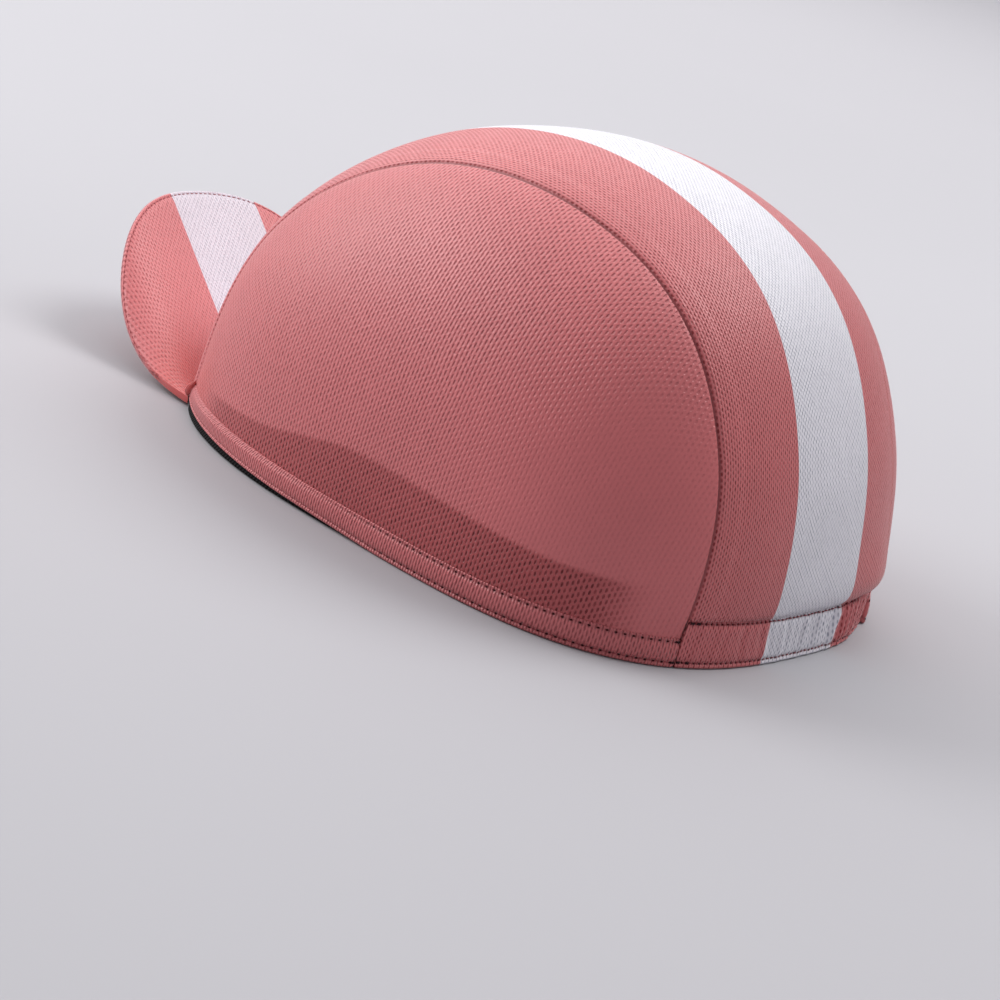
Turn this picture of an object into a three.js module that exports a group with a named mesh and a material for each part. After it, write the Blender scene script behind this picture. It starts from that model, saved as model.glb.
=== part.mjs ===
// A three-panel cycling cap: two D-shaped side panels, a centre panel from front to back, a peak
// turned up in front, a folded hem on each side, a gathered casing at the back and a dark
// sweatband inside. Millimetres, +Z up, the peak towards -Y and the wearer's left at +X.
// The cap rests on its rim at z = 0.
import * as THREE from 'three';
import { mergeVertices } from 'three/addons/utils/BufferGeometryUtils.js';

// Cloth and clearance
const CLOTH = 1.2;
const GAP = 0.3;

// Crown, measured outside from the cap's cross line, where it is widest
const FRONT_REACH = 110;
const REAR_REACH = 86.5;
const HALF_WIDTH = 77;
const CROWN_HEIGHT = 106.5;
const FAN_HEIGHT = 10;
const END_FULLNESS = 0.09;

// Folded hem at the foot of each side panel
const HEM_HEIGHT = 7.5;
const HEM_PROUD = 0.5;
const HEM_THICKNESS = 2.5;
const HEM_FRONT_LIFT = 2.7;

// Gathered casing at the back
const CASING_HEIGHT = 13;
const CASING_THICKNESS = 2.6;
const CASING_PROUD = 0.4;
const PLEAT_DEPTH = 0.9;
const PLEAT_WIDTH = 4.4;

// Sweatband
const BAND_HEIGHT = 22;
const BAND_THICKNESS = 1.4;
const BAND_END_SPACE = 9;

// Peak
const PEAK_DEPTH = 61.4;
const PEAK_THICKNESS = 3.2;
const PEAK_SQUARENESS = 2.23;
const PEAK_LEAN = 38;
const PEAK_END_LEAN = 2;
const PEAK_CURL = 4.6;

// The crown's middle line from the front rim over the top to the rear rim. along is a share of
// FRONT_REACH, or of REAR_REACH behind the cross line, and up a share of the height above the fan.
const MIDDLE_LINE = [
  { along: 0.98, up: -0.2 },
  { along: 1.0, up: 0.0 },
  { along: 0.885, up: 0.47 },
  { along: 0.6, up: 0.815 },
  { along: 0.23, up: 0.985 },
  { along: -0.19, up: 0.985 },
  { along: -0.64, up: 0.815 },
  { along: -0.91, up: 0.475 },
  { along: -1.0, up: 0.0 },
  { along: -1.01, up: -0.16 },
];

// Across the cap each section is a rounded square. turn is in degrees from the front over the
// top, squareness 2 is an ellipse, and seam is the panel seam's place as a share of HALF_WIDTH.
const SECTIONS = [
  { turn: -15, squareness: 2.74, seam: 0.655 },
  { turn: 0, squareness: 2.35, seam: 0.67 },
  { turn: 30, squareness: 2.47, seam: 0.576 },
  { turn: 60, squareness: 2.4, seam: 0.548 },
  { turn: 90, squareness: 2.45, seam: 0.558 },
  { turn: 120, squareness: 2.5, seam: 0.543 },
  { turn: 150, squareness: 2.57, seam: 0.525 },
  { turn: 180, squareness: 2.65, seam: 0.555 },
  { turn: 195, squareness: 2.68, seam: 0.575 },
];

// A side panel's rings spread from this direction, seen from the middle of the fan line.
const PANEL_MIDDLE = new THREE.Vector3(1, 0, 0.55).normalize();

// Facets
const SEAM_STEPS = 34;
const HEM_STEPS = 30;
const PANEL_RINGS = 9;
const CENTRE_COLUMNS = 14;
const BAND_STEPS = 56;
const STEPS_PER_PLEAT = 4;
const PEAK_STATIONS = 32;

// A place on the crown is found by halving a range this many times. A seam's foot is looked for
// between these turns.
const HALVINGS = 40;
const FRONT_TURNS = { low: -15, high: 30 };
const REAR_TURNS = { low: 150, high: 195 };

const FAN = new THREE.Vector3(0, 0, FAN_HEIGHT);
const UPRIGHT = new THREE.Vector3(0, 0, 1);

const spread = (count, from = 0, to = 1) =>
  Array.from({ length: count + 1 }, (_, i) => from + ((to - from) * i) / count);

// A smooth line through a table's rows, read at any place in one column and level past its ends.
function smoothTable(rows, place, value) {
  const slopes = rows.map((row, i) => {
    const before = rows[Math.max(i - 1, 0)];
    const after = rows[Math.min(i + 1, rows.length - 1)];
    return (after[value] - before[value]) / (after[place] - before[place]);
  });
  return (anywhere) => {
    const at = THREE.MathUtils.clamp(anywhere, rows[0][place], rows[rows.length - 1][place]);
    let i = 0;
    while (i < rows.length - 2 && at > rows[i + 1][place]) i += 1;
    const span = rows[i + 1][place] - rows[i][place];
    const t = (at - rows[i][place]) / span;
    const left = (1 + 2 * t) * rows[i][value] + t * span * slopes[i];
    const right = (3 - 2 * t) * rows[i + 1][value] - (1 - t) * span * slopes[i + 1];
    return (1 - t) ** 2 * left + t ** 2 * right;
  };
}

// The turn of a place about the fan line, in degrees: 0 at the front, 90 at the top.
function turnOf(y, rise) {
  const turn = THREE.MathUtils.radToDeg(Math.atan2(rise, -y));
  return turn < -90 ? turn + 360 : turn;
}

const middle = MIDDLE_LINE.map(({ along, up }) => {
  const y = along > 0 ? -along * FRONT_REACH : -along * REAR_REACH;
  const rise = up * (CROWN_HEIGHT - FAN_HEIGHT);
  return { turn: turnOf(y, rise), reach: Math.hypot(y, rise) };
});
const reachAt = smoothTable(middle, 'turn', 'reach');
const squarenessAt = smoothTable(SECTIONS, 'turn', 'squareness');
const seamAt = smoothTable(SECTIONS, 'turn', 'seam');

// Below 1 inside the crown's outer surface, 1 on it. The offset is from the fan line's middle.
function fullness(offset) {
  const turn = turnOf(offset.y, offset.z);
  const power = squarenessAt(turn);
  const across = Math.abs(offset.x / HALF_WIDTH) ** power;
  const along = (Math.hypot(offset.y, offset.z) / reachAt(turn)) ** power;
  return (across + along) ** (1 / power);
}

// The crown is fuller towards its front and back than its plain sections.
const widening = (y) => 1 + END_FULLNESS * (y / FRONT_REACH) ** 2;

function filled(offset) {
  return new THREE.Vector3(offset.x * widening(offset.y), offset.y, offset.z).add(FAN);
}

// The offset that filled() turns into a given place.
function unfilled(place) {
  const offset = place.clone().sub(FAN);
  offset.x /= widening(offset.y);
  return offset;
}

// The place where a ray from the fan line's middle meets the crown, less an inset.
function along(direction, inset = 0) {
  const reach = direction.length() / fullness(direction);
  return filled(direction.clone().setLength(reach - inset));
}

// The place on the crown at a given height and bearing, 0 in front and 90 at the left side.
function atLevel(bearing, height, inset = 0) {
  const angle = THREE.MathUtils.degToRad(bearing);
  const offset = new THREE.Vector3();
  const place = (reach) =>
    offset.set(reach * Math.sin(angle), -reach * Math.cos(angle), height - FAN_HEIGHT);
  let low = 0;
  let high = 2 * (FRONT_REACH + REAR_REACH);
  for (let i = 0; i < HALVINGS; i += 1) {
    const half = (low + high) / 2;
    if (fullness(place(half)) > 1) high = half;
    else low = half;
  }
  return filled(place(low - inset));
}

// The offset of a place across the middle line, at a turn about the fan line.
function acrossAt(turn, across) {
  const power = squarenessAt(turn);
  const reach = reachAt(turn) * (1 - Math.abs(across / HALF_WIDTH) ** power) ** (1 / power);
  const angle = THREE.MathUtils.degToRad(turn);
  return new THREE.Vector3(across, -reach * Math.cos(angle), reach * Math.sin(angle));
}

const seamOffset = (turn, aside = 0) => acrossAt(turn, seamAt(turn) * HALF_WIDTH + aside);

// The turn at which a line across the crown comes down to a height, in front or behind.
function turnAtHeight(offsetAt, height, behind) {
  let { low, high } = behind ? REAR_TURNS : FRONT_TURNS;
  for (let i = 0; i < HALVINGS; i += 1) {
    const half = (low + high) / 2;
    const above = offsetAt(half).z + FAN_HEIGHT > height;
    if (above === behind) low = half;
    else high = half;
  }
  return low;
}

const bearingOf = (offset) => THREE.MathUtils.radToDeg(Math.atan2(offset.x, -offset.y));

// The bearing of a side seam at a height near the rim, in front or behind.
const seamBearing = (height, behind) =>
  bearingOf(seamOffset(turnAtHeight(seamOffset, height, behind)));

// A closed mesh from quads, with shared corners merged, flat faces dropped and faces pointing out.
class Faces {
  constructor() {
    this.corners = [];
  }

  triangle(a, b, c) {
    const flat = a.distanceTo(b) < 1e-4 || b.distanceTo(c) < 1e-4 || c.distanceTo(a) < 1e-4;
    if (!flat) this.corners.push(a, b, c);
  }

  quad(a, b, c, d) {
    this.triangle(a, b, c);
    this.triangle(a, c, d);
  }

  geometry() {
    let volume = 0;
    for (let i = 0; i < this.corners.length; i += 3) {
      const [a, b, c] = this.corners.slice(i, i + 3);
      volume += a.dot(b.clone().cross(c));
    }
    if (volume < 0) this.corners.reverse();
    const loose = new THREE.BufferGeometry().setFromPoints(this.corners);
    const merged = mergeVertices(loose, 1e-4);
    merged.computeVertexNormals();
    return merged;
  }
}

// A wall between two grids of the same rows and columns, closed along its four sides.
function wall(outer, inner) {
  const faces = new Faces();
  const rows = outer.length - 1;
  const columns = outer[0].length - 1;
  for (let r = 0; r < rows; r += 1) {
    for (let c = 0; c < columns; c += 1) {
      faces.quad(outer[r][c], outer[r][c + 1], outer[r + 1][c + 1], outer[r + 1][c]);
      faces.quad(inner[r][c], inner[r + 1][c], inner[r + 1][c + 1], inner[r][c + 1]);
    }
    faces.quad(outer[r][0], outer[r + 1][0], inner[r + 1][0], inner[r][0]);
    faces.quad(outer[r][columns], inner[r][columns], inner[r + 1][columns], outer[r + 1][columns]);
  }
  for (let c = 0; c < columns; c += 1) {
    faces.quad(outer[0][c], inner[0][c], inner[0][c + 1], outer[0][c + 1]);
    faces.quad(outer[rows][c], outer[rows][c + 1], inner[rows][c + 1], inner[rows][c]);
  }
  return faces.geometry();
}

// A wall between two sets of closed rings that share their middle point.
function domeWall(outer, inner) {
  const faces = new Faces();
  const last = outer.length - 1;
  const count = outer[0].length;
  for (let c = 0; c < count; c += 1) {
    const next = (c + 1) % count;
    for (let r = 0; r < last; r += 1) {
      faces.quad(outer[r][c], outer[r][next], outer[r + 1][next], outer[r + 1][c]);
      faces.quad(inner[r][c], inner[r + 1][c], inner[r + 1][next], inner[r][next]);
    }
    faces.quad(outer[last][c], outer[last][next], inner[last][next], inner[last][c]);
  }
  return faces.geometry();
}

function mirrored(geometry) {
  const copy = geometry.clone();
  copy.scale(-1, 1, 1);
  const index = copy.getIndex();
  for (let i = 0; i < index.count; i += 3) {
    const first = index.getX(i);
    index.setX(i, index.getX(i + 2));
    index.setX(i + 2, first);
  }
  copy.computeVertexNormals();
  return copy;
}

// Side panel: rings that widen from the panel's middle to its seam and its straight foot.
function sidePanel() {
  const foot = HEM_HEIGHT + GAP;
  const aside = (turn) => seamOffset(turn, GAP / 2);
  const start = turnAtHeight(aside, foot, false);
  const end = turnAtHeight(aside, foot, true);
  const arch = spread(SEAM_STEPS, start, end).map(aside);
  const back = bearingOf(arch[arch.length - 1]);
  const front = bearingOf(arch[0]);
  const base = spread(HEM_STEPS, back, front)
    .slice(1, -1)
    .map((bearing) => unfilled(atLevel(bearing, foot)));
  const edge = [...arch, ...base].map((offset) => offset.clone().normalize());
  const rings = (inset) =>
    spread(PANEL_RINGS).map((share) =>
      edge.map((direction) => along(PANEL_MIDDLE.clone().lerp(direction, share), inset)),
    );
  return domeWall(rings(0), rings(CLOTH));
}

// Centre panel: from the peak's root at the front, over the top, to the casing at the back.
function centrePanel() {
  const lineAt = (share) => (turn) => acrossAt(turn, share * (seamAt(turn) * HALF_WIDTH - GAP / 2));
  const lines = spread(CENTRE_COLUMNS, -1, 1).map((share) => {
    const line = lineAt(share);
    const start = turnAtHeight(line, HEM_FRONT_LIFT, false);
    const end = turnAtHeight(line, CASING_HEIGHT + GAP, true);
    return spread(SEAM_STEPS, start, end).map(line);
  });
  const grid = (inset) => lines.map((line) => line.map((offset) => along(offset, inset)));
  return wall(grid(0), grid(CLOTH));
}

// Side hem: the panel's foot folded up and sewn, proud of the panel outside and fullest halfway up.
// Its foot lifts towards the front, where the sweatband shows below it.
function sideHem() {
  const grid = (insetAt) =>
    spread(2).map((rise) => {
      const front = seamBearing(HEM_HEIGHT * rise, false) + bearingStep(GAP / 2);
      const back = seamBearing(HEM_HEIGHT * rise, true) - bearingStep(GAP / 2);
      return spread(HEM_STEPS).map((place) => {
        const foot = HEM_FRONT_LIFT * Math.max(0, 1 - 2 * place) ** 2;
        const bearing = front + (back - front) * place;
        return atLevel(bearing, foot + (HEM_HEIGHT - foot) * rise, insetAt(rise));
      });
    });
  const outer = grid((rise) => -HEM_PROUD * (0.5 + 0.5 * Math.sin(rise * Math.PI)));
  const inner = grid(() => HEM_THICKNESS - HEM_PROUD);
  return wall(outer, inner);
}

// The bearing that a length takes along the rim, near enough at any place.
function bearingStep(length) {
  return THREE.MathUtils.radToDeg(length / HALF_WIDTH);
}

// Casing: a folded band at the back, drawn into small upright pleats by the elastic inside it.
function rearCasing() {
  const halfAt = (height) => 180 - seamBearing(height, true) - bearingStep(GAP / 2);
  const width = THREE.MathUtils.degToRad(2 * halfAt(0)) * REAR_REACH;
  const pleats = Math.max(2, Math.round(width / PLEAT_WIDTH));
  const shares = spread(pleats * STEPS_PER_PLEAT, -1, 1);
  const grid = (insetAt) =>
    spread(4).map((row) => {
      const height = row * CASING_HEIGHT;
      const half = halfAt(height);
      return shares.map((share) => atLevel(180 + share * half, height, insetAt(row, share)));
    });
  const pleat = (share) => Math.abs(Math.sin(((share + 1) / 2) * pleats * Math.PI));
  const puff = (row, share) => PLEAT_DEPTH * Math.sin(row * Math.PI) * pleat(share);
  const outer = grid((row, share) => -CASING_PROUD - puff(row, share));
  const inner = grid(() => CASING_THICKNESS - CASING_PROUD);
  return wall(outer, inner);
}

// Sweatband: inside the hems and the front, with both ends short of the rear seams.
function sweatband() {
  const end = seamBearing(0, true) - bearingStep(BAND_END_SPACE);
  const inset = HEM_THICKNESS - HEM_PROUD + GAP;
  const bearings = spread(BAND_STEPS, -end, end);
  const grid = (depth) =>
    spread(4, 0, BAND_HEIGHT).map((height) =>
      bearings.map((bearing) => atLevel(bearing, height, depth)),
    );
  return wall(grid(inset), grid(inset + BAND_THICKNESS));
}

// Peak: straight lines run forward and up from the crown's foot, steep in the middle and
// flatter at the ends. share runs from -1 to 1 along the root and out from 0 to 1 to the edge.
function peakPlace(share, out) {
  const side = Math.abs(share);
  const bearing = share * (seamBearing(0, false) - bearingStep(GAP));
  const root = atLevel(bearing, PEAK_THICKNESS / 2 + GAP, -GAP);
  const lean = PEAK_LEAN + (PEAK_END_LEAN - PEAK_LEAN) * side ** PEAK_CURL;
  const depth = PEAK_DEPTH * (1 - side ** PEAK_SQUARENESS) ** (1 / PEAK_SQUARENESS);
  const angle = THREE.MathUtils.degToRad(lean);
  const run = new THREE.Vector3(0, -Math.cos(angle), Math.sin(angle));
  return root.addScaledVector(run, depth * out);
}

// Rows follow the peak out from its root, and the last ones round off its edge. Stations are
// closest at the ends, where the outline turns.
function peak() {
  const step = 1e-3;
  const end = 0.99;
  const shares = spread(PEAK_STATIONS, -1, 1).map((u) => end * Math.sin((u * Math.PI) / 2));
  const rounding = PEAK_THICKNESS / 2 / PEAK_DEPTH;
  const rows = [
    { out: 0, thick: 1 },
    { out: 0.25, thick: 1 },
    { out: 0.5, thick: 1 },
    { out: 0.75, thick: 1 },
    { out: 1 - rounding, thick: 1 },
    { out: 1 - rounding * 0.3, thick: 0.72 },
    { out: 1, thick: 0.25 },
  ];
  const grid = (side) =>
    rows.map(({ out, thick }) =>
      shares.map((share) => {
        const place = peakPlace(share, out);
        const across = peakPlace(share + step, out).sub(peakPlace(share - step, out));
        const outward = peakPlace(share, out + step).sub(peakPlace(share, out - step));
        const upward = outward.cross(across).normalize();
        if (out === 0) upward.copy(UPRIGHT);
        return place.addScaledVector(upward, (side * thick * PEAK_THICKNESS) / 2);
      }),
    );
  return wall(grid(1), grid(-1));
}

const knit = new THREE.MeshStandardMaterial({ color: 0xc4767a, roughness: 0.85, metalness: 0 });
const folded = new THREE.MeshStandardMaterial({ color: 0xb96a6f, roughness: 0.85, metalness: 0 });
const dark = new THREE.MeshStandardMaterial({ color: 0x17171a, roughness: 0.9, metalness: 0 });

function piece(name, geometry, material) {
  const mesh = new THREE.Mesh(geometry, material);
  mesh.name = name;
  return mesh;
}

const cap = new THREE.Group();
const panel = sidePanel();
const hem = sideHem();
cap.add(piece('left_panel', panel, knit));
cap.add(piece('right_panel', mirrored(panel), knit));
cap.add(piece('centre_panel', centrePanel(), knit));
cap.add(piece('left_hem', hem, folded));
cap.add(piece('right_hem', mirrored(hem), folded));
cap.add(piece('rear_casing', rearCasing(), folded));
cap.add(piece('peak', peak(), knit));
cap.add(piece('sweatband', sweatband(), dark));

// The origin is on the floor below the middle of the whole cap, peak included.
const size = new THREE.Box3().setFromObject(cap);
cap.position.y = -(size.min.y + size.max.y) / 2;

export default cap;
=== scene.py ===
# A three-panel cycling cap in knitted polyester, resting on its rim: two side panels, a centre
# panel from front to back, a turned-up peak, stitched hems, a gathered casing and a black
# sweatband. Metres, +Z up, the peak towards -Y and the wearer's left at +X.
import bisect
import functools
import math
import random

import bmesh
import bpy
from mathutils import Matrix, Vector


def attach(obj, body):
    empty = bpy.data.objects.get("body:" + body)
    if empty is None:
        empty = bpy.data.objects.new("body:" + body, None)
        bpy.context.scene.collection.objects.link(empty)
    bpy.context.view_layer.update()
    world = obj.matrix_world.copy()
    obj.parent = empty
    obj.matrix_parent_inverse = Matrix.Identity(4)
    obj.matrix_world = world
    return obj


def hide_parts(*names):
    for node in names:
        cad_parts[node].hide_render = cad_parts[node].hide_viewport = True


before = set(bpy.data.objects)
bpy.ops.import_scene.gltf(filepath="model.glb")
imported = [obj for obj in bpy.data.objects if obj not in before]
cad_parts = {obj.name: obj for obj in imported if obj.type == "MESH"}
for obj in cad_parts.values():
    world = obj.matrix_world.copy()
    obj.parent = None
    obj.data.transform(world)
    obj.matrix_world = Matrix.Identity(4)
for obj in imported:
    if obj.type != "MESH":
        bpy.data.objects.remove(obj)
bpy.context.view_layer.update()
MM = 0.001


# Camera: a long lens on the wearer's left, a little behind the cap and above it, leaning as the
# picture does. The crown's sections fan out from a level line above CROWN_MIDDLE.
CROWN_MIDDLE = Vector((0, 35.4, 0)) * MM
CAMERA_TURN = math.radians(125.1)
CAMERA_RISE = math.radians(18.21)
CAMERA_LEAN = math.radians(16.36)
CAMERA_DISTANCE = 743.5 * MM
CAMERA_ASIDE = -12.8 * MM
CAMERA_UP = 5.9 * MM
LENS = 96.5
SENSOR = 36.0

back = Vector((
    math.sin(CAMERA_TURN) * math.cos(CAMERA_RISE),
    -math.cos(CAMERA_TURN) * math.cos(CAMERA_RISE),
    math.sin(CAMERA_RISE),
))
level_right = Vector((0, 0, 1)).cross(back).normalized()
right = Matrix.Rotation(CAMERA_LEAN, 3, back) @ level_right
up = back.cross(right)
camera = bpy.data.objects.new("camera", bpy.data.cameras.new("camera"))
camera.data.lens = LENS
camera.data.sensor_width = SENSOR
camera.data.clip_start = 10 * MM
camera.matrix_world = Matrix.Translation(
    CROWN_MIDDLE + back * CAMERA_DISTANCE + right * CAMERA_ASIDE + up * CAMERA_UP
) @ Matrix((right, up, back)).transposed().to_4x4()
bpy.context.scene.collection.objects.link(camera)
bpy.context.scene.camera = camera


# Floor and lights: a grey floor, painted paler with distance to stand in for the light that falls
# off away from the cap, under a large soft light above the cap, with a smaller one to each side of
# it, as the picture sees them, in a dim pale room.
FLOOR_HALF = 6.0
FLOOR_COLOUR = (0.43, 0.423, 0.444)
FLOOR_FAR_LIGHTENED = (0.9, 0.88, 0.92)
FLOOR_FADE = (0.5, 3.0)
FLOOR_CLOUDS = 3.0
FLOOR_CLOUDED = 0.97
FLOOR_ROUGHNESS = 0.95
ROOM_COLOUR = (0.86, 0.85, 0.90)
ROOM_STRENGTH = 0.40
LIGHTS = (
    dict(name="overhead_light", aside=0.0, up=1.5, back=-0.35, size=2.4, power=22.5),
    dict(name="left_light", aside=-1.1, up=1.1, back=0.0, size=0.9, power=16.0),
    dict(name="right_light", aside=1.1, up=1.1, back=0.0, size=0.9, power=14.0),
)


def srgb(red, green, blue):
    """A linear colour from the 0 to 255 values of a picture."""
    shares = [value / 255 for value in (red, green, blue)]
    linear = [s / 12.92 if s < 0.04 else ((s + 0.055) / 1.055) ** 2.4 for s in shares]
    return (*linear, 1.0)


class Nodes:
    """The nodes of a material or of a node group, joined up as they are added."""

    def __init__(self, tree):
        self.tree = tree

    def add(self, kind, settings=None, **sockets):
        """Adds a node. A socket is named by its words joined by _, or by in and its number."""
        node = self.tree.nodes.new(kind)
        for key, value in (settings or {}).items():
            setattr(node, key, value)
        for key, value in sockets.items():
            number = key[2:]
            name = int(number) if number.isdigit() else key.replace("_", " ")
            if isinstance(value, bpy.types.NodeSocket):
                self.tree.links.new(value, node.inputs[name])
            else:
                node.inputs[name].default_value = value
        return node

    def math(self, operation, *values):
        sockets = {f"in{i}": value for i, value in enumerate(values)}
        return self.add("ShaderNodeMath", {"operation": operation}, **sockets).outputs[0]

    def mix(self, share, first, second):
        """A colour between two, by share."""
        node = self.add("ShaderNodeMix", {"data_type": "RGBA"}, in0=share, in6=first, in7=second)
        return node.outputs[2]

    def ramp(self, value, low, high):
        """0 below low and 1 above high, with a smooth step between."""
        settings = {"interpolation_type": "SMOOTHSTEP"}
        node = self.add("ShaderNodeMapRange", settings, in0=value, in1=low, in2=high)
        return node.outputs[0]


def new_material(name):
    material = bpy.data.materials.new(name)
    material.use_nodes = True
    material.node_tree.nodes.clear()
    return material, Nodes(material.node_tree)


def shaded(nodes, colour, roughness, normal=None, **sockets):
    """Ends a material with its shader."""
    given = {"Base_Color": colour, "Roughness": roughness}
    if normal is not None:
        given["Normal"] = normal
    given.update(sockets)
    shader = nodes.add("ShaderNodeBsdfPrincipled", **given)
    nodes.add("ShaderNodeOutputMaterial", Surface=shader.outputs[0])


floor_material, nodes = new_material("pale_floor")
place = nodes.add("ShaderNodeTexCoord").outputs["Object"]
clouds = nodes.add("ShaderNodeTexNoise", Vector=place, Scale=FLOOR_CLOUDS, Detail=2.0)
darker = (*[FLOOR_CLOUDED * value for value in FLOOR_COLOUR], 1.0)
near = nodes.mix(clouds.outputs[0], (*FLOOR_COLOUR, 1.0), darker)
# Painted light: the floor is made paler with distance, making up for the light falling off there.
distance = nodes.add("ShaderNodeVectorMath", {"operation": "LENGTH"}, in0=place).outputs["Value"]
tone = nodes.mix(nodes.ramp(distance, *FLOOR_FADE), near, (*FLOOR_FAR_LIGHTENED, 1.0))
shaded(nodes, tone, FLOOR_ROUGHNESS, Specular_IOR_Level=0.1)


def new_object(name, bm, material):
    """Ends a bmesh as an object of the scene."""
    mesh = bpy.data.meshes.new(name)
    bm.to_mesh(mesh)
    bm.free()
    mesh.materials.append(material)
    made = bpy.data.objects.new(name, mesh)
    bpy.context.scene.collection.objects.link(made)
    return made


bm = bmesh.new()
bmesh.ops.create_grid(bm, x_segments=1, y_segments=1, size=FLOOR_HALF)
floor = new_object("floor", bm, floor_material)

for row in LIGHTS:
    light = bpy.data.lights.new(row["name"], "AREA")
    light.shape = "DISK"
    light.size = row["size"]
    light.energy = row["power"]
    lamp = bpy.data.objects.new(row["name"], light)
    lamp.location = CROWN_MIDDLE + right * row["aside"] + up * row["up"] + back * row["back"]
    towards = lamp.location - CROWN_MIDDLE
    lamp.rotation_mode = "QUATERNION"
    lamp.rotation_quaternion = towards.to_track_quat("Z", "Y")
    lamp.visible_camera = False
    bpy.context.scene.collection.objects.link(lamp)

room = bpy.data.worlds.new("room")
room.use_nodes = True
background = room.node_tree.nodes["Background"]
background.inputs["Color"].default_value = (*ROOM_COLOUR, 1.0)
background.inputs["Strength"].default_value = ROOM_STRENGTH
bpy.context.scene.world = room
bpy.context.scene.view_settings.view_transform = "Standard"


# Side panels: two D-shaped pieces of pink dimpled knit, cut with the wales upright. Each is sewn to
# the centre panel round its arch, where the cloth dips into the seam, and hemmed at its foot. The
# black sweatband behind shows through as a darker strip along the foot.
CLOTH = 1.2 * MM
GAP = 0.3 * MM
FRONT_REACH = 110 * MM
REAR_REACH = 86.5 * MM
HALF_WIDTH = 77 * MM
CROWN_HEIGHT = 106.5 * MM
FAN_HEIGHT = 10 * MM
END_FULLNESS = 0.09
# The crown's line over the middle, in shares of its reach to each end and of its height.
MIDDLE_LINE = (
    dict(along=0.98, up=-0.2),
    dict(along=1.0, up=0.0),
    dict(along=0.885, up=0.47),
    dict(along=0.6, up=0.815),
    dict(along=0.23, up=0.985),
    dict(along=-0.19, up=0.985),
    dict(along=-0.64, up=0.815),
    dict(along=-0.91, up=0.475),
    dict(along=-1.0, up=0.0),
    dict(along=-1.01, up=-0.16),
)
# The crown's sections, by their turn about the fan line in degrees: how square each one is, and
# how far out the seam crosses it, as a share of the half width.
SECTIONS = (
    dict(turn=-15, squareness=2.74, seam=0.655),
    dict(turn=0, squareness=2.35, seam=0.67),
    dict(turn=30, squareness=2.47, seam=0.576),
    dict(turn=60, squareness=2.4, seam=0.548),
    dict(turn=90, squareness=2.45, seam=0.558),
    dict(turn=120, squareness=2.5, seam=0.543),
    dict(turn=150, squareness=2.57, seam=0.525),
    dict(turn=180, squareness=2.65, seam=0.555),
    dict(turn=195, squareness=2.68, seam=0.575),
)
PANEL_MIDDLE = Vector((1, 0, 0.55)).normalized()
FAN = CROWN_MIDDLE + Vector((0, 0, FAN_HEIGHT))
HALVINGS = 32
FRONT_TURNS = (-15, 30)
TOP_TURN = 90
REAR_TURNS = (150, 195)

HEM_HEIGHT = 7.5 * MM
BAND_HEIGHT = 22 * MM
BAND_END_SPACE = 9 * MM
SEAM_DEPTH = 0.6 * MM
SEAM_REACH = 0.45 * MM
SEAM_ROLL = 2.4 * MM
SEAM_SHARPNESS = 0.8
FOOT_DEPTH = 0.2 * MM
FOOT_BLEND = 0.01
FAR_OFF = 5 * MM
ARCH_STEPS = 170
FOOT_STEPS = 110
PANEL_STEPS = ARCH_STEPS + FOOT_STEPS
PANEL_RINGS = 70
# How high the black band shows through, in millimetres, by its bearing in degrees, and how many
# degrees from its two ends it fades.
SHOW_THROUGH_BLUR = 0.8 * MM
SHOW_THROUGH = (
    dict(bearing=27, height=11.0),
    dict(bearing=44, height=12.8),
    dict(bearing=58, height=15.0),
    dict(bearing=71, height=19.7),
    dict(bearing=82, height=22.4),
    dict(bearing=104, height=22.0),
    dict(bearing=128, height=19.6),
    dict(bearing=150, height=19.6),
)
SHOW_THROUGH_END = (-11.0, 1.0)
SHOW_THROUGH_START = (5.5, 16.5)
# Where the light on the cloth is flat, so that the knit's painted dimple shade and its relief are
# shown fainter, as a bearing and a height, and how far out they are full again.
FLAT_LIGHT_MIDDLE = (136, 34 * MM)
FLAT_LIGHT_REACH = (20 * MM, 62 * MM)
# The warm light that comes through the thin cloth at the front corner, painted into its colour.
GLOW_INWARD = 6 * MM
GLOW_REACH = 13 * MM
GLOW_SHARE = 0.6

# The knit: its dimples' pitch across and along, their size in shares of it, and its colours. The
# dimples' colours are painted shade, for their hollows and the shaded inside seen through them.
WALE = 1.15 * MM
COURSE = 1.85 * MM
WALE_SWAY = 0.9
SWAY_SCALE = 45.0
DIMPLE_WIDTH = 0.26
DIMPLE_HEIGHT = 0.36
DIMPLE_RIM = (0.1, 1.3)
DIMPLE_SHALLOWEST = 0.55
FUZZ_SCALE = 1500.0
THREAD_RELIEF = 0.42
PINK = srgb(205, 106, 108)
PINK_DIMPLE_SHADE = srgb(138, 36, 40)
PINK_OVER_BLACK = srgb(176, 74, 76)
DARK_OVER_BLACK = srgb(88, 14, 22)
PAINTED_GLOW = srgb(206, 78, 72)
KNIT_RELIEF = 0.4 * MM
KNIT_ROUGHNESS = 0.46
DIMPLE_ROUGHNESS = 0.2
KNIT_SHEEN = 0.28
SHEEN_ROUGHNESS = 0.38
KNIT_SHINE = 0.62
DARK_SHINE = 0.07
DIMPLE_DARK = 0.9
PATCH_SCALE = 55.0
PATCH_SHADE = 0.12
THREAD_SHADING = 0.16
FLAT_LIGHT_FADES = 0.8
STRETCH_OPENS = 0.7


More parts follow.
